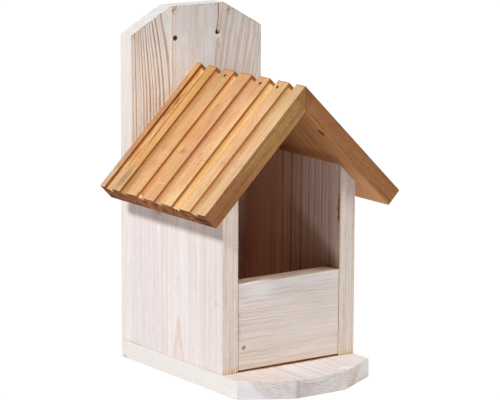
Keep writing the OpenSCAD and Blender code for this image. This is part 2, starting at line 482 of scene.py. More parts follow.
def wall_front(f, seed, bareness):
    """Front edge of a side wall: fine upright grain, and a bare brown arris along the entrance."""
    front = f.towards(FRONT)
    upright = f.noise((0.62, 0, 0.005), seed, 2, 0.6)
    f.tint((0.905, 0.875, 0.855), front, f.rise(upright, 0.48, 0.58))
    f.tint((1.03, 1.035, 1.04), front, f.fall(upright, 0.34, 0.46))
    f.tint((0.97, 0.95, 0.94), front, f.patches(0.5, 0.6, (1.1, 0, 0.02), seed))
    slanted = f.scaled(f.z, 0.6, f.times(f.x, -0.8))
    hatch = f.wave(f.swayed(slanted, (0.25, 0, 0.12), 7, seed + 1), 2.6)
    faint = f.patches(0.44, 0.6, (0.16, 0, 0.07), seed + 4, 3, 0.6)
    f.tint((0.88, 0.88, 0.9), front, f.rise(hatch, -0.1, 0.8), faint)
    f.tint((1.03, 1.035, 1.04), front, f.fall(hatch, -0.9, -0.2), faint)
    f.tint((0.985, 0.95, 0.87), front, f.patches(0.52, 0.66, (0.2, 0, 0.12), seed + 2, 3, 0.6))
    f.raise_by(f.times(front, hatch), 0.12)
    f.tint((1, 0.985, 0.95), front, f.fall(f.z, 150, 175))
    near_arris = f.fall(f.abs(f.x), 60, 69)
    f.tint((1.05, 1.055, 1.045), front, near_arris)
    # Painted light: the front edge is lighter just below the roof's shadow
    f.tint((1.06, 1.05, 1.05), front, f.window(f.z, 148, 172, 8))
    f.tint((0.93, 0.87, 0.8), front, f.patches(0.52, 0.6, (0.9, 0, 0.004), seed + 5), 0.8)
    gap = f.scaled(f.noise((0.6, 0.6, 0.12), seed, 3), -1.6, f.abs(f.x))
    bare = f.times(f.fall(gap, ROOM_SIDE - 0.3, ROOM_SIDE + 0.1), f.rise(f.z, 100, 104),
                   f.fall(f.y, -58.5, -57.5))
    f.lay((0.34, 0.16, 0.07), bare, bareness)


def spruce_left_wall():
    f = stained("left_wall_spruce", "left_wall", (-55.1, 11.5, 61), (0.048, 0, 1), 2.9, 0.9, 3.1, 5)
    outside = f.towards(LEFT)
    f.tint((0.8, 0.66, 0.6), f.late, f.scaled(f.rise(f.fibre["Broad"], 0.35, 0.6), 0.3, 0.12))
    f.tint((0.985, 0.975, 1.0), outside)
    fine = f.patches(0.5, 0.58, (0, 0.8, 0.003), 12, 2, 0.6)
    f.tint((0.945, 0.89, 0.86), fine, outside, f.scaled(f.rise(f.y, -20, 30), -0.3, 0.9))
    # Two old rings cut almost flat: a pointed flame low in the middle of the board
    band = f.window(f.rings["Radius"], 19.8, 20.95, 0.15)
    f.tint((0.985, 0.93, 0.9), band, outside, f.fall(f.z, 58, 66))
    inner = f.times(f.fall(f.rings["Radius"], 20.3, 20.9), outside, f.window(f.y, -1, 22, 1),
                    f.fall(f.z, 56, 62))
    f.tint((0.955, 0.89, 0.86), inner)
    # Single dark rings run down from the eave and fade out low on the board
    sway = f.swayed(f.scaled(f.z, -0.055, f.maths("ADD", f.y, 8.2)), (0, 0, 0.016), 4, 2)
    rings = f.lines(sway, (-4.5, 1.6, 0.9), (-10, 0.8, 0.6), (-15, 1, 0.9), (-23.5, 0.7, 0.6),
                    (-28.5, 0.8, 0.8), (57, 1, 0.8), (50.5, 0.9, 0.6), (62, 0.8, 0.6))
    f.tint((0.9, 0.83, 0.78), rings, outside, f.scaled(f.rise(f.z, 60, 140), 0.5, 0.45))
    f.tint((1.015, 1.03, 1.035), outside, f.window(f.y, 2, 28, 3))
    f.tint((0.97, 0.955, 0.97), f.rise(f.y, 42, 60), outside)
    f.tint((0.965, 0.96, 0.965), f.fall(f.y, -32, -18), outside)
    f.tint((0.96, 0.86, 0.76), outside, f.window(f.y, 39, 41, 0.8), 0.8)
    f.tint((0.955, 0.84, 0.75), outside, f.window(f.y, 30.6, 32.3, 0.7), f.fall(f.z, 70, 175))
    # Painted shade deepens the eave's shadow on the upper wall
    f.tint((0.95, 0.93, 0.93), outside, f.window(f.y, 24, 58, 4), f.rise(f.z, 138, 148))
    # A blue-grey knot under the eave
    f.stain((0.5, 0.5, 0.64), (WALL_OUT, 45.5, 156.5), (4, 8, 7.5), 0.9, 0.5, 4, 0.9)
    f.stain((0.88, 0.8, 0.8), (WALL_OUT, 50, 151), (4, 12, 9), 0.9, 0.6, 7, 0.6)
    f.blot((0.92, 0.9, 0.89), (WALL_OUT, 46.5, 139), (4, 4, 4.5), 0.9, 0.4, 5, 0.8)
    f.stain((0.9, 0.74, 0.56), (WALL_OUT, -51.7, 84), (3, 3, 2.6), 0.6, 0.5, 6, 0.5)
    wall_front(f, 7, 0.8)
    foot_stain(f)
    shaded_room_face(f, RIGHT)
    return f.done()


def spruce_right_wall():
    f = stained("right_wall_spruce", "right_wall", (86, 24, 100), (-0.012, 0.004, 1), 3.6, 1.4, 8.4)
    f.tint(LATEWOOD, f.late, 0.3)
    wall_front(f, 3, 0.3)
    foot_stain(f)
    inner = shaded_room_face(f, LEFT)
    # Dark rings of the inner face
    sway = f.swayed(f.y, (0, 0, 0.012), 1.6, 4)
    rings = f.lines(sway, (31.5, 2.2, 0.6), (17, 1.8, 0.7), (1, 1.6, 1), (-11.5, 1.1, 0.9), (-15, 0.6, 0.5),
                    (-21, 1.1, 0.8), (-25.5, 0.6, 0.5), (-32, 1, 1), (-36.5, 0.6, 0.5), (-43, 0.7, 0.6),
                    (-47.5, 0.5, 0.4), (44, 0.8, 0.5), (49, 0.7, 0.5), (53, 0.6, 0.4))
    strong = f.scaled(f.patches(0.35, 0.6, (0, 0.1, 0.02), 22), 0.45, 0.5)
    fading = f.scaled(f.times(f.fall(f.z, 108, 148), f.fall(f.y, -10, 6)), -0.65, 1)
    f.tint((0.45, 0.31, 0.25), inner, rings, strong, fading)
    comb = f.patches(0.5, 0.58, (0, 1.1, 0.004), 23, 2, 0.6)
    f.tint((0.77, 0.72, 0.69), inner, comb, f.scaled(f.rise(f.y, 0, 60), -0.7, 1))
    f.tint((1.08, 1.1, 1.11), inner)
    f.tint((0.8, 0.68, 0.62), inner, f.late, 0.5)
    f.tint((1.1, 1.08, 1.06), inner, f.window(f.y, 35, 38, 1))
    # Painted shade where little light reaches the lower and rear part: a soft brown edge curves across it
    height = f.scaled(f.y, -0.62, f.swayed(f.z, (0.05, 0.05, 0.05), 6, 5))
    low = f.fall(height, 136, 158)
    rear = f.rise(f.y, -18, 22)
    painted_shade = f.either(low, rear)
    f.tint((1.02, 1.01, 1.01), inner, f.off(painted_shade))
    f.tint((0.86, 0.84, 0.83), inner, painted_shade)
    f.tint((0.78, 0.67, 0.58), inner, low, f.fall(f.y, 2, 34))
    f.tint((1.16, 1.16, 1.13), inner, f.fall(f.z, 100, 160), f.rise(f.y, -30, 0))
    brown = f.patches(0.46, 0.6, (0, 0.35, 0.006), 14, 3, 0.6)
    f.tint((0.92, 0.86, 0.8), inner, brown)
    # Painted shade in the low corner behind the front board
    f.tint((0.84, 0.78, 0.72), inner, f.fall(f.z, 108, 124), f.fall(f.y, -48, -34))
    # The arris beside the entrance is torn, and the stain has gone from it
    depth = f.scaled(f.rise(f.z, 160, 182), 3.5, f.maths("ADD", f.y, 61))
    torn = f.fall(f.scaled(f.noise((0.3, 0.3, 0.4), 9, 3), 8, depth), 7.6, 8.6)
    f.tint((0.5, 0.31, 0.2), torn, inner, f.window(f.z, 148, 182, 2))
    f.lay((0.5, 0.27, 0.13), f.window(f.z, 152, 172, 2), f.fall(f.y, -60.2, -59.2), inner)
    return f.done()


def spruce_front_board():
    f = stained("front_board_spruce", "front_board", (0, -34, 2), (1, 0, 0.03), 2.8, 3.4, 5.2, 2)
    f.tint(LATEWOOD, f.late, 0.28)
    front = f.towards(FRONT)
    sway = f.swayed(f.scaled(f.x, 0.045, f.z), (0.03, 0.03, 0.03), 4, 7)
    rings = f.lines(sway, (92, 0.8, 0.5), (87, 1, 0.7), (81, 0.6, 0.35), (75, 0.8, 0.7), (72, 0.7, 0.8),
                    (68, 0.7, 0.9), (65, 1, 0.7), (61, 0.9, 0.5), (54, 0.7, 0.35), (47.5, 0.8, 0.4),
                    (34, 0.9, 0.3), (27, 0.8, 0.35))
    f.tint((0.77, 0.68, 0.6), rings, front, f.scaled(f.fall(f.x, -45, 20), 0.55, 0.25))
    veins = f.noise((0.01, 0, 1.5), 16, 2, 0.6, f.at(f.x, 0, sway))
    # The grain fades out towards the lower right
    calm = f.scaled(f.times(f.rise(f.x, -22, 34), f.fall(f.z, 66, 82)), -0.7, 1)
    f.tint((0.905, 0.87, 0.835), front, f.rise(veins, 0.48, 0.58), calm)
    f.tint((1.02, 1.05, 1.075), front, f.rise(f.z, 84, 92))
    f.tint((1.025, 1.04, 1.05), front, f.fall(f.z, 26, 40))
    f.tint((1.04, 1.045, 1.05), front, f.fall(veins, 0.34, 0.46), calm)
    f.tint((0.97, 0.965, 0.985), f.rise(f.z, 74, 90), 0.9)
    f.tint((1, 0.965, 0.92), f.fall(f.z, 30, 56))
    # A scuff at the left end and the shallow dimple over the nail
    for colour, x, z, wide, high, *spot in (
        ((0.84, 0.81, 0.82), -57.5, 57, 3.4, 16, 0.8, 0.6, 3, 0.9),
        ((0.7, 0.5, 0.36), -57.5, 72, 2, 1.8, 0.7, 0.6, 4, 0.9),
        ((1.05, 1.04, 1.04), -51.5, 41, 6.5, 6.5, 0.8, 0.5, 6, 0.9),
        ((0.66, 0.65, 0.66), -51.7, 41.1, 3.8, 3.8, 0.7, 0.5, 7, 0.8),
    ):
        f.stain(colour, (x, BOARD_FRONT, z), (wide, 3, high), *spot)
    f.blot((0.93, 0.95, 0.97), (-34, BOARD_FRONT, 93), (26, 3, 10), 0.9, 1, 8, 0.45)
    f.lay((0.55, 0.33, 0.17), f.either(f.towards(DOWN), f.fall(f.z, BOARD_FOOT + 0.3, BOARD_FOOT + 1.1)))
    f.lay((0.62, 0.4, 0.24), f.rise(f.abs(f.x), 57.1, 57.6), front, f.patches(0.36, 0.6, (0, 0, 0.12), 6),
          0.8)
    f.lay((0.42, 0.22, 0.1), f.rise(f.x, 56.9, 57.4), front, f.fall(f.z, 60, 90), 0.75)
    f.tint((0.95, 0.86, 0.68), front, f.rise(f.x, 56.6, 57.6), f.patches(0.4, 0.6, (0, 0, 0.15), 3))
    # Top face: pale along the front at the left, darker behind and at the right end
    top = f.towards(UP)
    pale_front = f.fall(f.swayed(f.y, (0.12, 0.1, 0.1), 8, 8), -55, -52)
    f.tint((0.99, 0.93, 0.88), top, f.off(pale_front))
    f.tint((1.13, 1.15, 1.15), top, pale_front)
    f.tint((0.8, 0.73, 0.68), top, f.rise(f.x, 30, 52))
    f.stain((0.55, 0.38, 0.24), (-50, -44, BOARD_TOP), (12, 4, 4), 0.6, 0.8, 9, 0.8)
    f.tint((0.78, 0.72, 0.66), top, f.patches(0.46, 0.56, (0.03, 0.5, 0), 11))
    f.tint((1.12, 1.14, 1.15), top, f.window(f.x, -24, 20, 6),
           f.fall(f.noise((0.04, 0.4, 0), 27), 0.44, 0.52))
    f.tint((1.2, 1.21, 1.17), top)
    arrises = f.either(f.fall(f.y, BOARD_FRONT + 1.3, BOARD_FRONT + 2.1),
                       f.rise(f.y, BOARD_REAR - 2, BOARD_REAR - 1.4))
    f.lay((0.95, 0.83, 0.69), arrises, f.rise(f.z, BOARD_TOP - 0.5, BOARD_TOP - 0.2), 0.8)
    shaded_room_face(f, BACK)
    return f.done()


def knot_push(f):
    """The back board's grain lines lean to the left on their way up past the knot on its shoulder."""
    high = f.maths("POWER", f.either(f.scaled(f.z, 1 / 86, -255 / 86), 0), 1.6)
    push = f.times(high, 12, f.rise(f.x, -80, -48), f.fall(f.x, -40, -22))
    return f.maths("ADD", push, f.swayed(f.x, (0, 0.05, 0.02), 1.8, 3))


def spruce_back_board():
    f = stained("back_board_spruce", "back_board", (0, 134, 300), (0, -0.11, 1), 3.0, 1.1, 1.7, 2.2)
    front = f.towards(FRONT)
    left = f.times(f.fall(f.x, -30, -22), front)
    right = f.times(f.rise(f.x, 14, 26), front)
    middle = f.times(f.window(f.x, -24, 16, 5), front)
    f.tint(LATEWOOD, f.late, f.off(front), 0.25)
    # Dark upright rings on the left, the darkest half way to the knot
    pushed = knot_push(f)
    rings = f.lines(pushed, (-73, 0.9, 0.6), (-69.6, 1.2, 0.75), (-66.4, 0.6, 0.45), (-64.2, 0.8, 0.6),
                    (-61, 1, 0.8), (-57.6, 1.1, 0.8), (-53.6, 1.4, 1), (-50.2, 1, 0.8), (-46.8, 1.1, 0.85),
                    (-42.6, 1.4, 1), (-38.2, 1.4, 0.9), (-34.6, 0.7, 0.3), (-31.4, 1.5, 0.8))
    broken = f.scaled(f.patches(0.3, 0.6, (0.2, 0.2, 0.03), 8), 0.3, 0.7)
    f.tint((1.12, 1.165, 1.17), left)
    f.tint((0.53, 0.28, 0.15), rings, left, broken)
    # Bare-looking tan strip and a dirty notch beside the left shoulder
    f.tint((0.95, 0.86, 0.76), left, f.window(pushed, -68.5, -60, 2), f.rise(f.z, 262, 300), 0.8)
    f.stain((0.72, 0.66, 0.62), (-71.6, BACK_FACE, 316), (1.3, 3, 5), 0.8, 0.4, 2, 0.9)
    hairs = f.noise((1, 0.3, 0.01), 9, 2, 0.6, f.at(pushed, 0, f.z))
    f.tint((0.94, 0.9, 0.87), left, f.rise(hairs, 0.5, 0.62))
    # Milky patches in the middle
    f.tint((1.04, 1.06, 1.08), middle, f.patches(0.5, 0.64, (0.35, 0.1, 0.03), 13, 3, 0.6))
    f.tint((0.95, 0.935, 0.925), middle, f.patches(0.5, 0.6, (0.45, 0.1, 0.012), 14, 3, 0.6))
    f.tint((0.985, 0.955, 0.92), front, f.window(f.swayed(f.x, (0, 0, 0.02), 3, 24), -6, 6, 2.5))
    f.tint((1.02, 1.03, 1.035), front, f.window(f.x, -22, -9, 3))
    # Broad pink bands lean to the right below the other knot, with bluish stain between them
    lean = f.scaled(f.z, -0.15, f.maths("ADD", f.swayed(f.x, (0.04, 0, 0.03), 4, 5), 45))
    bands = f.lines(lean, (25.5, 1.5, 0.4), (31, 3, 0.8), (37.6, 3, 0.8), (43.2, 1.4, 0.4),
                    (49.5, 2.8, 0.75), (54.6, 1.6, 0.5), (58.6, 2.6, 0.85), (65.2, 2.6, 0.75),
                    (70.2, 1.9, 0.6), (74.4, 1.6, 0.7))
    f.tint((0.97, 1.01, 1.05), front)
    # Painted light and shade: the top of the front face is darker and its lower part lighter
    f.tint((0.93, 0.925, 0.915), front, f.rise(f.z, 305, 338))
    f.tint((1.11, 1.115, 1.1), front, f.fall(f.x, 64, 76), f.fall(f.z, 284, 316))
    f.tint((0.85, 0.745, 0.66), bands, right)
    leaning = f.at(lean, 0, f.z)
    streak = f.noise((0.5, 0, 0.035), 5, 2, 0.5, leaning)
    f.tint((0.83, 0.86, 0.9), right, f.rise(streak, 0.53, 0.62), f.rise(f.x, 34, 42), 0.8)
    f.tint((0.88, 0.87, 0.865), right, f.patches(0.5, 0.6, (1.1, 0, 0.012), 15, 2, 0.6, leaning))
    crack = f.times(f.lines(lean, (44.5, 0.6, 1)), right, f.window(f.z, 296, 311, 3))
    f.tint((0.74, 0.71, 0.7), crack)
    # Dark dashes where the saw tore the shoulders' lower arrises
    shoulder = f.scaled(f.either(f.less(f.abs(f.x), 31.5), 0), -25 / 44.5, 341.5)
    brink = f.times(f.fall(f.less(shoulder, f.z), 0.8, 2.4), front)
    f.tint((0.62, 0.5, 0.38), brink, f.patches(0.48, 0.6, (0.45, 0, 0.45), 21))
    f.tint((0.76, 0.73, 0.72), f.lines(lean, (31.5, 0.6, 1), (46.6, 0.5, 0.6)), right, f.rise(f.z, 322, 332))
    # Pink lines from the knot past the left hole, and from the right hole downwards
    sway = f.swayed(f.x, (0, 0, 0.03), 3.5, 3)
    f.tint(PINK_LINE, f.lines(sway, (-28, 1.3, 1), (-24.8, 0.8, 0.4)), front)
    f.tint((1.07, 1.08, 1.09), f.lines(sway, (-30.6, 1.4, 1), (-22.6, 1.2, 0.6)), front)
    below = f.scaled(f.z, -0.06, f.maths("ADD", sway, 18.6))
    f.tint((0.86, 0.68, 0.54), f.lines(below, (23.4, 1.3, 0.9)), front, f.fall(f.z, 304, 308))
    # Knots on both shoulders
    for x, z, strength, seed in ((-25.4, 336.6, 1, 1), (38.4, 332.6, 0.7, 2)):
        f.stain((0.9, 0.77, 0.64), (x, BACK_FACE, z), (5.8, 3, 5.4), 0.7, 0.7, seed, strength)
        f.stain((0.78, 0.58, 0.42), (x - 0.8, BACK_FACE, z + 0.6), (3.0, 3, 2.7), 0.5, 0.8, seed, strength)
        f.blot((0.9, 0.84, 0.77), (x + 0.8, BACK_FACE, z - 0.8), (2.2, 3, 1.7), 0.5, 0.8, seed,
               strength * 0.9)
    # Hanging holes: pale broken stain round a bore of bare wood
    for x, z in ((-25, 310.5), (24, 313)):
        f.blot((0.93, 0.88, 0.83), (x + 1.4, BACK_FACE, z - 1.6), (4.2, 3, 4.4), 0.5, 0.8, x, 0.8)
        offset = f.vector("MULTIPLY", f.vector("SUBTRACT", f.point, (x, 0, z)), (1, 0, 1))
        reach = f.scaled(f.noise((0.8, 0.8, 0.8), 3), -0.8, f.vector("LENGTH", offset))
        f.lay(BARE_WOOD, f.fall(reach, 2.15, 2.4))
    f.blot((0.93, 0.92, 0.92), (-14, BACK_FACE, 309), (6, 3, 7), 0.5, 1, 11, 0.6)
    # The strip torn out above the right hole left a dark split, a bare patch and a crack below it
    bent = f.scaled(f.rise(f.z, SPLINTER_FOOT, SPLINTER_BEND), -SPLINTER_SWING, f.x)
    split = f.times(f.lines(bent, (23.1, 1.25, 1)), front, f.rise(f.z, 311, 313))
    f.lay((0.3, 0.13, 0.055), split, f.scaled(f.rise(f.z, 314, 330), -0.2, 1))
    f.blot((0.95, 0.87, 0.74), (25.2, BACK_FACE, 308.6), (2.4, 3, 3), 0.5, 0.8, 6, 0.95)
    f.blot((0.66, 0.4, 0.22), (25, BACK_FACE, 306.3), (1.3, 3, 1.2), 0.5, 0.8, 5, 0.9)
    winding = f.scaled(f.wave(f.z, 0.42), 0.9, f.x)
    f.tint((0.6, 0.45, 0.36), f.lines(winding, (25.6, 0.7, 1)), front, f.window(f.z, 296, 303, 1.5))
    # Sawn top and shoulders
    saw = f.patches(0.5, 0.62, (0.9, 0.12, 0.9), 4)
    sawn = f.either(f.towards(UP), f.either(f.towards((-0.5, 0, 0.87)), f.towards((0.5, 0, 0.87))))
    f.tint((1.0, 1.045, 1.06), sawn)
    f.tint((0.93, 0.945, 0.96), sawn, saw)
    under = f.scaled(f.abs(f.x), 0.983, f.z)
    inner = shaded_room_face(f, FRONT, f.fall(under, 257, 262))
    f.tint((0.92, 0.95, 0.97), inner)
    return f.done()


def spruce_base():
    f = stained("base_spruce", "base_board", (-3, 0, 59), (0, 1, 0), 3.3, 1.6, 6.6, 2)
    heavy = f.rise(f.swayed(f.rings["Radius"], (0.15, 0.15, 0.15), 3, 18), 73.5, 78.5)
    light = f.off(heavy)
    top = f.towards(UP)
    ends = f.scaled(f.end_grain, 0.35, f.times(top, 0.15))
    f.tint(LATEWOOD, f.late, ends, light)
    f.tint((0.93, 0.9, 0.88), f.end_grain, light, f.patches(0.4, 0.6, (0.2, 0.2, 0.2), 4, 3))
    f.lay(HEAVY_STAIN, heavy, f.end_grain, 0.75)
    f.tint((0.9, 0.905, 0.91), f.end_grain, f.towards((-0.5, -0.87, 0)))
    # Weather has opened the grain of the top in front of the entrance
    sway = f.swayed(f.x, (0, 0.02, 0), 4, 3)
    pink = f.lines(sway, (-29, 1.2, 0.6), (-18, 2.4, 0.7), (3.5, 1.6, 0.9), (13, 1, 0.8), (24, 2, 0.5),
                   (31, 1.2, 0.6), (42, 1.6, 0.4))
    f.tint((0.9, 0.81, 0.75), pink, top)
    hidden = f.times(top, f.rise(f.y, -60.2, -58.8), f.fall(f.abs(f.x), 57.5, 58))
    f.lay((0.64, 0.44, 0.29), hidden)
    grain = f.patches(0.48, 0.58, (0.8, 0.01, 0), 16, 3, 0.6)
    f.tint((0.93, 0.89, 0.86), grain, top)
    pale = f.lines(sway, (-9, 5, 0.9), (8, 2, 0.9), (-24, 2.6, 0.5))
    f.lay((0.9, 0.875, 0.89), pale, top, 0.5)
    f.tint((0.99, 0.965, 0.93), top, f.fall(f.x, -45, -20))
    f.tint((0.965, 0.945, 0.95), top, f.rise(f.x, 18, 40))
    f.tint((0.99, 1.01, 1.05), top, f.rise(f.x, -40, 0))
    foot = f.fall(f.scaled(f.noise((0.1, 0.1, 0.1), 6, 3), 5, f.times(f.y, -1)), 63, 65.5)
    f.tint((0.93, 0.83, 0.66), foot, top, f.fall(f.y, -58, -56))
    rim = f.times(top, f.window(f.y, -62.6, -60, 0.5), f.window(f.x, -34, 36, 9))
    f.lay((0.6, 0.28, 0.09), rim, f.patches(0.34, 0.46, (0.12, 0, 0), 17))
    # The front top edge is worn into a shallow arc, milky above a brown rim
    front = f.towards(FRONT)
    squared = f.maths("POWER", f.maths("DIVIDE", f.abs(f.maths("ADD", f.x, 7)), 23), 2)
    arc = f.scaled(squared, -5, f.swayed(f.z, (0.1, 0, 0.1), 1.4, 9))
    across = f.times(front, f.window(f.x, -26, 24, 4))
    f.tint((0.93, 0.935, 0.965), front, f.fall(f.x, -14, 4), f.fall(f.z, 10, 14))
    ragged = f.patches(0.36, 0.6, (0.22, 0.2, 0.5), 13, 3, 0.6)
    f.lay((0.89, 0.89, 0.92), across, f.rise(arc, 12.2, 13.8), f.scaled(ragged, 0.5, 0.2))
    f.tint((0.7, 0.6, 0.52), across, ragged,
           f.lines(arc, (12.4, 0.6, 0.8), (14.8, 0.6, 0.8), (10, 0.5, 0.5)))
    f.tint((1.06, 1.08, 1.1), front, f.window(f.x, -13, 28.3, 1))
    f.tint((0.84, 0.86, 0.94), front, f.window(f.x, -27.5, -24.5, 1))
    f.tint((1, 1.03, 1.06), front, f.window(f.x, -4, 18, 2))
    left_side = f.towards(LEFT)
    f.lay((0.9, 0.865, 0.835), left_side, 0.4)
    f.tint((0.945, 0.95, 0.95), left_side)
    hatch = f.wave(f.scaled(f.x, 0.35, f.swayed(f.z, (0.1, 0.1, 0.1), 5, 11)), 2.3)
    rough = f.patches(0.36, 0.6, (0.08, 0.08, 0.08), 12)
    f.tint((0.83, 0.83, 0.845), f.end_grain, light, f.rise(hatch, 0.1, 0.9), rough)
    f.tint((0.9, 0.89, 0.89), f.end_grain, light, f.patches(0.5, 0.6, (0.9, 0.9, 1.3), 19, 2, 0.6))
    # Worn and dirty spots on the edges
    f.stain((0.74, 0.64, 0.54), (WALL_OUT, 105.5, 1.5), (4, 3.4, 2.4), 0.6, 1.1, 3, 0.85)
    f.stain((0.78, 0.62, 0.47), (WALL_OUT, 86, BASE_TOP), (3, 15, 1.1), 0.5, 0.9, 5, 0.6)
    f.stain((0.7, 0.52, 0.36), (-27.5, -109, BASE_TOP), (1.6, 3.4, 1.4), 0.6, 0.8, 6, 0.7)
    f.blot((0.96, 0.95, 0.94), (38, -101, BASE_TOP), (13, 5, 3), 0.5, 0.8, 7, 0.6)
    return f.done()


# ---- Bare larch --------------------------------------------------------------------------------

ROOF_PITCH = radians(44.5)
RIDGE_Z = 284.92
ROOF_FRONT = -83.5
ROOF_DEEP = 177.5
EAVE_SLOPE = 155.5
OTHER_SIDE = 300
LARCH_SHINE = 0.02
# Tone of the planed boards from the front edge to the back board
LARCH_TONES = (
    (0.04, (0.8, 0.51, 0.28)), (0.21, (0.84, 0.5, 0.26)), (0.25, (0.85, 0.49, 0.2)),
    (0.33, (0.85, 0.52, 0.255)), (0.39, (0.82, 0.475, 0.245)), (0.5, (0.76, 0.41, 0.2)),
    (0.62, (0.79, 0.42, 0.19)), (0.68, (0.79, 0.43, 0.205)), (0.77, (0.68, 0.37, 0.16)),
    (0.84, (0.81, 0.45, 0.17)), (0.9, (0.7, 0.37, 0.17)), (0.97, (0.66, 0.34, 0.15)),
)
LARCH_EDGE = (0.39, 0.185, 0.085)
LARCH_OLIVE = (0.5, 0.3, 0.125)
LARCH_UNDER = (0.56, 0.28, 0.12)
LARCH_END = (0.42, 0.21, 0.11)
GROOVE_DARK = (0.5, 0.2, 0.07)
WORN = (0.86, 0.64, 0.43)


def larch_roof():
    """Planed larch with dark grooves and sawn ends. Noises and spots are laid out along the board, down from
    its top face and down the slope from the ridge."""
    f = Finish("roof_larch", LARCH_UNDER, 0.7, LARCH_SHINE)
    up, run = cos(ROOF_PITCH), sin(ROOF_PITCH)
    side = f.maths("SIGN", f.x)
    wide = f.abs(f.x)
    drop = f.less(RIDGE_Z, f.z)
    slope = f.slope = f.scaled(wide, up, f.times(drop, run))
    depth = f.less(f.times(drop, up), f.times(wide, run))
    # The right board's grain and marks lie far along, so that the two boards differ
    right = f.rise(side, -0.5, 0.5)
    f.place = f.scaled(right, OTHER_SIDE, f.y)
    f.point = f.at(f.place, depth, slope)
    nx, ny, nz = f.apart(f.normal)
    out = f.times(nx, side)
    skyward = f.scaled(out, run, f.times(nz, up))
    top = f.top = f.rise(skyward, 0.6, 0.85)
    eave = f.rise(f.less(f.times(out, up), f.times(nz, run)), 0.75, 0.9)
    front = f.times(f.rise(f.times(ny, -1), 0.7, 0.9), f.fall(f.y, ROOF_FRONT + 0.6, ROOF_FRONT + 1))
    flank = f.times(f.rise(f.abs(ny), 0.45, 0.75), f.rise(f.y, ROOF_FRONT + 1, ROOF_FRONT + 1.5),
                    f.rise(depth, 0.15, 0.5))
    floor = f.floor = f.times(top, f.rise(depth, 0.9, 1.4))
    f.land = f.times(top, f.fall(depth, 0.5, 0.9))

    heart = f.vector("SUBTRACT", f.point, (-70, 52, 0))
    late = f.use("growth_rings", Point=heart, Spacing=2.7, Wander=2.4, Sharpness=2, Seed=4.3)["Latewood"]
    fibre = f.use("fibres", Seed=2.5)

    tones = f.add("ValToRGB", {0: f.maths("DIVIDE", f.less(f.y, ROOF_FRONT), ROOF_DEEP)})
    stops = tones.color_ramp.elements
    while len(stops) < len(LARCH_TONES):
        stops.new(0.5)
    for stop, (at, colour) in zip(stops, LARCH_TONES):
        stop.position = at
        stop.color = (*colour, 1)
    f.lay(tones.outputs[0], top)
    f.tint((1.17, 1.23, 1.31), top)
    # The groove floors are darker where shallow and at the ridge, and the flanks get a dark brown that is
    # painted shade, darker still towards the back
    f.tint((0.93, 0.92, 0.9), floor)
    f.tint((0.78, 0.68, 0.6), floor, f.fall(depth, 1.7, 4))
    f.tint((0.66, 0.54, 0.46), floor, f.fall(depth, 1.7, 2.5))
    f.tint((0.5, 0.36, 0.26), floor, f.fall(wide, 0.7, 2.2))
    f.lay(GROOVE_DARK, flank)
    f.tint((0.6, 0.52, 0.5), flank, f.rise(f.y, 60, 75))
    # Painted light and shade: the underside is darker towards the back board, the ridge and the top of the
    # right wall, and lighter towards the eave
    under = f.fall(skyward, -0.85, -0.6)
    f.tint((0.76, 0.67, 0.68), under, f.rise(f.scaled(slope, -0.5, f.y), -60, 50))
    f.tint((1.04, 1.1, 1.19), under)
    f.tint((1.22, 1.22, 1.27), under, f.rise(slope, 70, 125))
    f.tint((0.8, 0.7, 0.68), under, right, f.rise(f.scaled(slope, -0.42, f.y), -62, -8))
    f.tint((0.72, 0.64, 0.62), under, right, f.window(wide, 47, 60, 5), f.rise(f.y, -72, -58))
    f.tint((0.98, 1.06, 1.14), under, right, f.rise(slope, 98, 125))
    calm = f.scaled(f.rise(slope, 60, 105), -0.7, 1)
    f.tint((0.82, 0.72, 0.63), under, calm, f.patches(0.48, 0.6, (0.25, 0, 0.008), 29, 3, 0.6))
    # Front edge
    f.lay(LARCH_EDGE, front)
    pale_rings = f.patches(0.46, 0.54, (0, 0.85, 0.008), 21)
    upper = f.scaled(f.fall(slope, 70, 125), f.off(right), f.times(right, f.rise(depth, 14, 16)))
    f.lay(LARCH_OLIVE, front, upper, f.scaled(pale_rings, 0.7, 0.3))
    f.tint((0.8, 0.77, 0.75), front, f.fall(slope, 12, 20), 0.9)
    f.tint((0.9, 0.89, 0.88), front, f.patches(0.45, 0.65, (0, 0.12, 1.5), 22, 2, 0.6))
    f.tint((0.9, 0.87, 0.85), front, f.patches(0.48, 0.6, (0.2, 0.35, 0.2), 23, 3, 0.7))
    # Sawn ends along the eave, with curls of torn grain
    f.lay(LARCH_END, eave)
    f.tint((1.3, 1.28, 1.25), eave, f.window(f.y, -50, 60, 25))
    f.tint((0.42, 0.3, 0.25), eave, late, 0.9)
    f.tint((0.56, 0.5, 0.46), eave, f.patches(0.5, 0.62, (0.09, 0.25, 0.1), 24, 3, 0.6))
    f.tint((1.35, 1.0, 0.7), eave, f.patches(0.55, 0.68, (0.16, 0.3, 0.1), 25, 2, 0.6))
    curls = f.scaled(f.noise((0.07, 0.1, 0.05), 41), 30, depth)
    curls = f.noise((1.3, 0, 0), 42, 2, 0.6, f.at(f.scaled(f.y, 0.16, curls)))
    f.tint((0.42, 0.31, 0.26), eave, f.rise(curls, 0.48, 0.56))
    f.tint((1.25, 1.2, 1.15), eave, f.fall(curls, 0.36, 0.46))

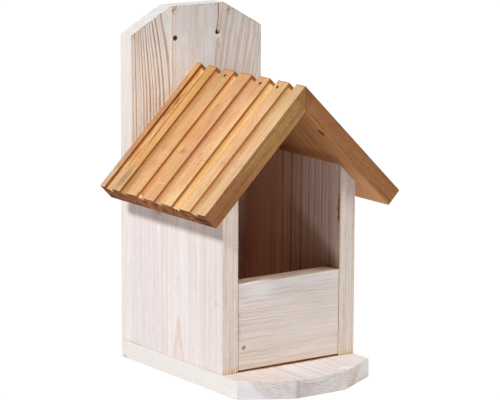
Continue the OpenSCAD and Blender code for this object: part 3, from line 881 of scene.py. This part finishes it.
    # Grain
    f.tint((0.83, 0.72, 0.6), late, f.scaled(f.either(top, f.times(under, 0.8)), -0.75, 0.9))
    f.tint((0.89, 0.85, 0.8), f.rise(fibre["Fine"], 0.47, 0.6))
    f.tint((1.05, 1.06, 1.08), f.fall(fibre["Fine"], 0.36, 0.5))
    f.tint((0.88, 0.83, 0.78), f.patches(0.54, 0.66, (2.2, 2.2, 0.22), 27, 2, 0.6))
    f.tint((0.97, 0.94, 0.9), f.rise(fibre["Broad"], 0.45, 0.6))
    for waves, dark, light in (
        (((0.55, 0.55, 0.014), 28, 2, 0.55), (0.93, 0.88, 0.83), (1.04, 1.05, 1.06)),
        (((0.9, 0.9, 0.5), 30, 2, 0.6), (0.93, 0.9, 0.87), (1.03, 1.04, 1.05)),
    ):
        veins = f.noise(*waves)
        f.tint(dark, top, f.rise(veins, 0.5, 0.6))
        f.tint(light, top, f.fall(veins, 0.36, 0.46))
    f.tint((0.93, 0.85, 0.8), top, f.patches(0.48, 0.66, (0.035, 0.1, 0.022), 7, 3, 0.55))
    frayed = f.patches(0.4, 0.6, (0.22, 0.1, 0.3), 26, 3, 0.6)
    f.lay(WORN, eave, f.fall(depth, 0.1, 0.8), frayed, 0.4)
    f.lay(WORN, f.land, f.rise(slope, EAVE_SLOPE - 1.6, EAVE_SLOPE - 0.4), frayed, 0.7)
    f.tint((0.8, 0.66, 0.55), top, f.fall(wide, 0.4, 1.2))
    return f


def weathered_roof():
    """The larch with the tones of its strips, stains, streaks and small damage."""
    f = larch_roof()

    def mark(colour, place, slope, wide, long, soft, ragged, seed, strength=1, depth=0, layer=f.stain):
        """A spot on the boards; wide is half its width along the ridge and long half its length down it."""
        layer(colour, (place, depth, slope), (wide, 6, long), soft, ragged, seed, strength)

    # The lands are duller towards the ridge, and every plank strip has its own tone
    f.tint((0.95, 0.96, 0.97), f.land)
    f.tint((0.86, 0.87, 0.86), f.land, f.fall(f.slope, 5, 42))
    for low, high, tone, none, full in (
        (-83, -70.5, (0.92, 0.92, 0.93), 80, 110), (-69.5, -58, (0.9, 0.93, 0.86), 55, 20),
        (-40, -29, (1.16, 1.23, 1.17), -2, -1), (20.5, 29.5, (1.2, 1.32, 1.24), 170, 90),
        (61, 73, (0.93, 0.92, 0.93), 125, 100), (48, 60, (0.82, 0.83, 0.86), 115, 140),
        (-70.5, -57.2, (0.95, 0.97, 0.94), -2, -1), (-28, -10, (1.04, 1.1, 1.1), 112, 135),
        (31, 47.5, (0.93, 0.94, 0.95), 75, 40),
    ):
        reach = f.rise(f.slope, none, full) if full > none else f.fall(f.slope, full, none)
        f.tint(tone, f.window(f.y, low, high, 1), f.top, reach)
    pale = f.times(f.top, f.rise(f.slope, 112, 142))
    f.tint((1.0, 1.1, 1.4), pale, f.window(f.y, 60, 73.5, 1))
    f.tint((1.1, 1.2, 1.3), pale, f.rise(f.y, 73, 76))
    # Where a batten lay across the stacked boards
    batten = f.times(f.window(f.slope, 93, 101, 2), f.land, f.patches(0.42, 0.62, (0.09, 0.2, 0.2), 11))
    f.tint((0.86, 0.87, 0.92), batten, 0.8)
    # Grey clouds and old streaks
    for spot in (
        ((0.74, 0.74, 0.8), 14, 97, 5.5, 5, 0.8, 1.5, 1, 0.9),
        ((0.7, 0.68, 0.7), 13, 98, 2.5, 2.5, 0.7, 1.2, 13, 0.7),
        ((0.85, 0.86, 0.9), 3, 28, 6, 7, 0.9, 1, 2), ((0.88, 0.86, 0.87), 14, 48, 9, 16, 0.9, 1.2, 3),
        ((0.86, 0.85, 0.89), 9, 60, 7, 7, 0.9, 1.4, 19), ((0.9, 0.87, 0.87), 15, 42, 4, 7, 0.9, 1.4, 20),
        ((0.84, 0.83, 0.84), 45, 98, 5, 8, 0.9, 1.4, 21), ((0.93, 0.89, 0.9), -52, 99, 6, 7, 0.9, 1.4, 22),
        ((0.93, 0.9, 0.9), 41, 118, 7, 8, 0.9, 1.4, 23), ((0.72, 0.68, 0.66), 73.5, 28, 2.6, 14, 0.7, 1, 4),
        ((0.62, 0.64, 0.7), 71.5, 87, 2.2, 22, 0.7, 1.2, 5),
        ((0.8, 0.82, 0.92), 67, 140, 8, 22, 0.9, 1.2, 6),
        ((0.72, 0.73, 0.8), 68.5, 143, 5, 26, 0.9, 1.8, 14),
        ((0.62, 0.57, 0.54), 65, 138, 1.5, 24, 0.8, 2.2, 15), ((0.9, 0.96, 0.8), 66, 20, 6, 26, 0.9, 1, 16),
        ((0.88, 0.95, 0.76), 50, 24, 4, 30, 0.9, 1, 17), ((0.92, 0.97, 0.82), 23, 22, 4, 26, 0.9, 1, 18),
        ((0.93, 1, 1.08), 90, 135, 5, 26, 0.9, 1.2, 7), ((1.05, 0.85, 0.75), 90.5, 16, 3, 9, 0.9, 1, 8),
        ((1.14, 1.14, 1.0), 78.5, 90, 3.4, 13, 0.25, 0.6, 9),
    ):
        mark(*spot)
    # The rearmost groove gets painted shade along its back, broken in patches, and it and the land behind it
    # are stained in streaks
    patchy = f.patches(0.4, 0.62, (0.1, 0.1, 0.03), 35, 2, 0.6)
    rear_groove = f.window(f.scaled(patchy, 2.2, f.place), 84, 87.5, 0.8)
    f.tint((0.6, 0.42, 0.32), rear_groove, f.floor, f.scaled(patchy, 0.6, 0.3),
           f.scaled(f.rise(f.slope, 95, 130), -0.7, 1))
    streaks = f.patches(0.48, 0.56, (0.7, 0.3, 0.03), 34, 3, 0.65)
    f.tint((0.7, 0.54, 0.44), streaks, f.window(f.place, 73.5, 94, 0.8), f.top, 0.75)
    f.tint((1.38, 1.65, 1.7), f.window(f.place, 74.5, 84, 1), f.floor)
    for surface, low, high, near, far, tone in (
        (f.floor, 83.2, 88.5, -20, 133, (1.35, 1.4, 1.42)),
        (f.floor, 82.5, 88.5, -20, 16, (1.3, 1.36, 1.36)), (f.floor, 82.5, 87, 96, 115, (1.25, 1.32, 1.36)),
        (f.top, 70.5, 77.5, 14, 95, (0.8, 0.77, 0.74)), (f.floor, 74, 78, 14, 95, (0.88, 0.85, 0.82)),
        (f.top, 71, 76, 100, 138, (1.14, 1.16, 1.18)),
    ):
        f.tint(tone, f.window(f.place, low, high, 0.8), f.window(f.slope, near, far, 5), surface)
    for behind, reach, tone in (
        (84, f.rise(f.slope, 20, 40), (0.86, 0.93, 1.02)), (84, f.rise(f.slope, 75, 90), (1.09, 1.1, 1.1)),
        (85, f.fall(f.slope, 12, 24), (1.16, 1.33, 1.34)),
        (85, f.rise(f.slope, 105, 140), (1.15, 1.25, 1.35)),
    ):
        f.tint(tone, f.rise(f.y, behind, behind + 2), f.land, reach)
    for place, slope, wide, long, colour in (
        (81, 40, 3, 36, (0.72, 0.55, 0.45)), (80, 118, 3.5, 34, (0.9, 0.8, 0.72)),
        (79, 62, 1.3, 22, (1.08, 1.05, 1.0)), (76.5, 120, 1.4, 30, (0.8, 0.8, 0.86)),
        (90, 60, 3, 30, (0.9, 0.8, 0.76)), (82.5, 46, 1.8, 10, (0.66, 0.52, 0.44)),
        (79.6, 34, 1.6, 10, (0.6, 0.45, 0.36)), (77, 24, 1.4, 9, (0.62, 0.48, 0.4)),
        (78, 84, 1.1, 14, (0.7, 0.58, 0.5)),
    ):
        mark(colour, place, slope, wide, long, 0.8, 1.6, place)
    # Dark patches on the sawn eave, a chipped groove, scratches, a dark spot with a pale rim under the right
    # board, a crack and two flecks
    for spot in (
        ((0.45, 0.42, 0.4), -68, EAVE_SLOPE, 16, 8, 0.7, 0.8, 31, 1, 10),
        ((0.6, 0.5, 0.42), -40, EAVE_SLOPE, 5, 5, 0.8, 1.4, 32, 1, 9),
        ((0.55, 0.45, 0.4), 88, EAVE_SLOPE, 8, 5, 0.8, 1, 33, 1, 15),
        ((0.92, 0.62, 0.3), 28, 153, 2.2, 2.8, 0.4, 0.8, 36, 0.9, 1, f.blot),
        ((0.22, 0.1, 0.05), 27, 151.2, 1.0, 1.1, 0.4, 0.5, 37, 0.9, 1, f.blot),
        ((0.4, 0.22, 0.12), 31, 153, 0.9, 3, 0.5, 0.6, 38, 0.8, 1),
        ((1.12, 1.17, 1.25), 10, 135, 9, 1.6, 0.8, 2.2, 39),
        ((1.1, 1.14, 1.2), 42, 131, 5, 1.8, 0.8, 2.2, 40),
        ((1.25, 1.1, 0.95), OTHER_SIDE - 80, 47.5, 6, 8.5, 0.7, 0.8, 44, 1, 18),
        ((0.33, 0.21, 0.15), OTHER_SIDE - 80, 47.5, 4.4, 6.5, 0.5, 0.8, 43, 1, 18),
        ((0.35, 0.28, 0.22), -7.6, 142, 0.8, 8, 0.6, 0.8, 10, 0.9),
        ((0.45, 0.34, 0.2), -21, 102, 0.9, 1, 0.5, 0.5, 11, 0.8),
        ((0.55, 0.42, 0.28), -21.4, 106.5, 0.9, 1.6, 0.5, 0.5, 12, 0.7),
    ):
        mark(*spot)
    return f.done()


# ---- Steel and the torn strip ------------------------------------------------------------------

def worn_metal(name, colour, rough, metallic, stains, seed):
    """Dull metal with a blotchy skin, fine dents and stains of another tone."""
    f = Finish(name, colour, rough)
    f.shader.inputs["Metallic"].default_value = metallic
    skin = f.noise((0.9, 0.9, 0.9), seed, 3, 0.6)
    f.tint((0.78, 0.76, 0.74), f.rise(skin, 0.42, 0.6))
    f.lay(stains, f.patches(0.5, 0.66, (0.6, 0.6, 0.6), seed + 1, 3, 0.65), 0.6)
    f.rough = f.scaled(skin, 0.3, rough - 0.15)
    f.raise_by(f.noise((2.2, 2.2, 2.2), seed + 2), 0.05)
    return f.done()


def splinter_wood():
    f = Finish("splinter_wood", SPLINTER_CREAM, 0.8)
    strands = f.noise((2.5, 2.5, 0.08), 3, 3, 0.6)
    f.tint((0.8, 0.64, 0.48), f.rise(strands, 0.48, 0.62))
    f.tint((0.7, 0.5, 0.34), f.fall(f.swayed(f.z, (1, 1, 0.2), 3, 4), SPLINTER_FOOT + 1, SPLINTER_FOOT + 4))
    f.raise_by(strands, 0.15)
    return f.done()


# ---- Pieces ------------------------------------------------------------------------------------

SHORT_EDGE = 8 * MM
WELD = 0.01 * MM
FLAT = radians(0.5)
SHARP = radians(20)
WALL_ROUNDING = 0.8 * MM
ROOF_ROUNDING = 0.5 * MM
SCREW_HEAD_RADIUS = 3.5 * MM
SCREW_RIM = 0.5 * MM
SCREW_SHANK_RADIUS = 1.75 * MM
SCREW_TIP_RADIUS = 0.2 * MM
SCREW_LENGTH = 45 * MM
SCREW_SIDES = 32
SCREW_WELD = 0.001 * MM
CROSS_REACH = 2.0 * MM
CROSS_WIDTH = 0.62 * MM
CROSS_DEEP = 2.2 * MM
CROSS_TAPER = 0.55


def hang_in_house(name, bm, material, node=None):
    """Makes the finished shape a piece that rides with the house, in place of a CAD node if one is named."""
    mesh = bpy.data.meshes.new(name)
    bm.to_mesh(mesh)
    bm.free()
    mesh.materials.append(material)
    piece = put_in_scene(name, mesh)
    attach(piece, "root")
    if node:
        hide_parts(node)


def dressed(node, rounding, material):
    """A copy of a CAD board with its long edges rounded."""
    bm = bmesh.new()
    bm.from_mesh(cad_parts[node].data)
    bmesh.ops.remove_doubles(bm, verts=bm.verts, dist=WELD)
    bmesh.ops.dissolve_limit(bm, angle_limit=FLAT, verts=bm.verts, edges=bm.edges)
    corners = [e for e in bm.edges if e.calc_length() > SHORT_EDGE and e.calc_face_angle() > SHARP]
    bmesh.ops.bevel(bm, geom=corners, offset=rounding, offset_type="OFFSET", affect="EDGES",
                    segments=3, profile=0.5, material=-1, clamp_overlap=True)
    hang_in_house(node + "_wood", bm, material, node)


def ring_at(bm, edges, scale, z):
    """Carries an open rim of a turned shape on to a wider or narrower rim at this height."""
    made = bmesh.ops.extrude_edge_only(bm, edges=edges)["geom"]
    verts = [v for v in made if isinstance(v, bmesh.types.BMVert)]
    bmesh.ops.scale(bm, vec=(scale, scale, 1), verts=verts)
    bmesh.ops.translate(bm, vec=(0, 0, z - verts[0].co.z), verts=verts)
    return [e for e in made if isinstance(e, bmesh.types.BMEdge)]


def cross_screw(node, turn, material):
    """A countersunk screw, made pointing along Z and then turned into place. Its cross recess has a floor
    but no side walls."""
    bm = bmesh.new()
    # A grid of nine cells without its corners makes the cross
    bmesh.ops.create_grid(bm, x_segments=3, y_segments=3, size=CROSS_REACH)
    corners = [f for f in bm.faces if min(abs(c) for c in f.calc_center_median().xy) > CROSS_REACH / 2]
    bmesh.ops.delete(bm, geom=corners, context="FACES")
    narrow = CROSS_WIDTH * 3 / CROSS_REACH
    for axis, squeeze in ((0, (narrow, 1, 1)), (1, (1, narrow, 1))):
        inner = [v for v in bm.verts if abs(v.co[axis]) < CROSS_REACH / 2]
        bmesh.ops.scale(bm, vec=squeeze, verts=inner)
    lip = [e for e in bm.edges if e.is_boundary]
    floor = bmesh.ops.extrude_face_region(bm, geom=bm.faces[:])["geom"]
    floor_verts = [v for v in floor if isinstance(v, bmesh.types.BMVert)]
    bmesh.ops.delete(bm, geom=[f for f in bm.faces if f not in floor], context="FACES_ONLY")
    bmesh.ops.scale(bm, vec=(CROSS_TAPER, CROSS_TAPER, 1), verts=floor_verts)
    bmesh.ops.translate(bm, vec=(0, 0, CROSS_DEEP), verts=floor_verts)
    rim = bmesh.ops.create_circle(bm, segments=SCREW_SIDES, radius=SCREW_HEAD_RADIUS)["verts"]
    edges = list({e for v in rim for e in v.link_edges})
    bmesh.ops.bridge_loops(bm, edges=edges + [e for e in lip if e.is_valid])
    cone_end = SCREW_RIM + SCREW_HEAD_RADIUS - SCREW_SHANK_RADIUS
    for scale, z in (
        (1, SCREW_RIM), (SCREW_SHANK_RADIUS / SCREW_HEAD_RADIUS, cone_end),
        (1, SCREW_LENGTH - 2 * SCREW_SHANK_RADIUS), (SCREW_TIP_RADIUS / SCREW_SHANK_RADIUS, SCREW_LENGTH),
    ):
        edges = ring_at(bm, edges, scale, z)
    bmesh.ops.contextual_create(bm, geom=edges)
    bmesh.ops.remove_doubles(bm, verts=bm.verts, dist=SCREW_WELD)
    bmesh.ops.recalc_face_normals(bm, faces=bm.faces)
    bmesh.ops.transform(bm, matrix=turn, verts=bm.verts)
    hang_in_house(node + "_cross_head", bm, material, node)


def torn_strip(material):
    """The splinter that hangs over the right hanging hole."""
    bm = bmesh.new()
    bmesh.ops.create_cube(bm, size=1)
    long = SPLINTER_TOP - SPLINTER_FOOT
    bmesh.ops.scale(bm, vec=(1, 1, long), verts=bm.verts)
    bmesh.ops.translate(bm, vec=(0, 0, long / 2), verts=bm.verts)
    upright = [e for e in bm.edges if abs(e.verts[0].co.z - e.verts[1].co.z) > 1]
    bmesh.ops.subdivide_edges(bm, edges=upright, cuts=SPLINTER_CUTS, use_grid_fill=True)
    for v in bm.verts:
        # Its sides waver, and it swings over, narrows to its tip and stands off the board towards the foot
        up = v.co.z / long
        swing = min(up * long / (SPLINTER_BEND - SPLINTER_FOOT), 1)
        swing = swing * swing * (3 - 2 * swing)
        narrowing = 0.9 * max(0, SPLINTER_TIP - up) / SPLINTER_TIP
        wide = SPLINTER_WIDE - 0.9 * up + 0.25 * sin(40 * up) - narrowing
        v.co.x = v.co.x * wide + SPLINTER_X + SPLINTER_SWING * swing + 0.15 * sin(25 * up)
        v.co.y = v.co.y * (SPLINTER_THICK - 0.5 * up) + BACK_FACE - SPLINTER_STANDS_OFF * (1 - up)
        v.co.z += SPLINTER_FOOT
    corners = [e for e in bm.edges if e.calc_face_angle(0) > SPLINTER_SHARP]
    bmesh.ops.bevel(bm, geom=corners, offset=SPLINTER_ROUNDING, offset_type="OFFSET", affect="EDGES",
                    segments=2, profile=0.5, material=-1, clamp_overlap=True)
    bmesh.ops.scale(bm, vec=(MM, MM, MM), verts=bm.verts)
    hang_in_house("splinter", bm, material)


make_camera()
make_studio()
GROUPS = {
    "growth_rings": make_growth_rings(),
    "fibres": make_fibres(),
    "blot": make_blot(),
    "arris": make_arris(),
}

for board, finish in (
    ("base_board", spruce_base()), ("back_board", spruce_back_board()), ("left_wall", spruce_left_wall()),
    ("right_wall", spruce_right_wall()), ("front_board", spruce_front_board()),
):
    dressed(board, WALL_ROUNDING, finish)
larch = weathered_roof()
for board in ("left_roof", "right_roof"):
    dressed(board, ROOF_ROUNDING, larch)
torn_strip(splinter_wood())
steel = worn_metal("steel", (0.5, 0.49, 0.48), 0.45, 0.8, (0.3, 0.22, 0.16), 1)
NAIL_FINISHES = {
    # The ridge nails sit deep in their holes: their near-black tone is rusty steel and painted shade of the
    # holes
    "ridge": worn_metal("sunk_nail", (0.07, 0.035, 0.022), 0.75, 0, (0.03, 0.016, 0.01), 4),
    "wall": worn_metal("stained_nail", (0.82, 0.73, 0.67), 0.6, 0, (0.66, 0.46, 0.32), 7),
    "front": worn_metal("dull_nail", (0.45, 0.4, 0.38), 0.6, 0, (0.3, 0.25, 0.22), 10),
}
for node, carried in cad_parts.items():
    low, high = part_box(node)
    middle = (Vector(low) + Vector(high)) / 2
    if node.startswith("base_screw"):
        cross_screw(node, Matrix.Translation((middle.x, middle.y, low[2])), steel)
    elif node.startswith("back_screw"):
        turn = Matrix.Translation((middle.x, high[1], middle.z)) @ Matrix.Rotation(radians(90), 4, "X")
        cross_screw(node, turn, steel)
    elif "nail" in node:
        carried.data.materials.clear()
        carried.data.materials.append(NAIL_FINISHES.get(node.split("_")[0], steel))

low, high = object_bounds()
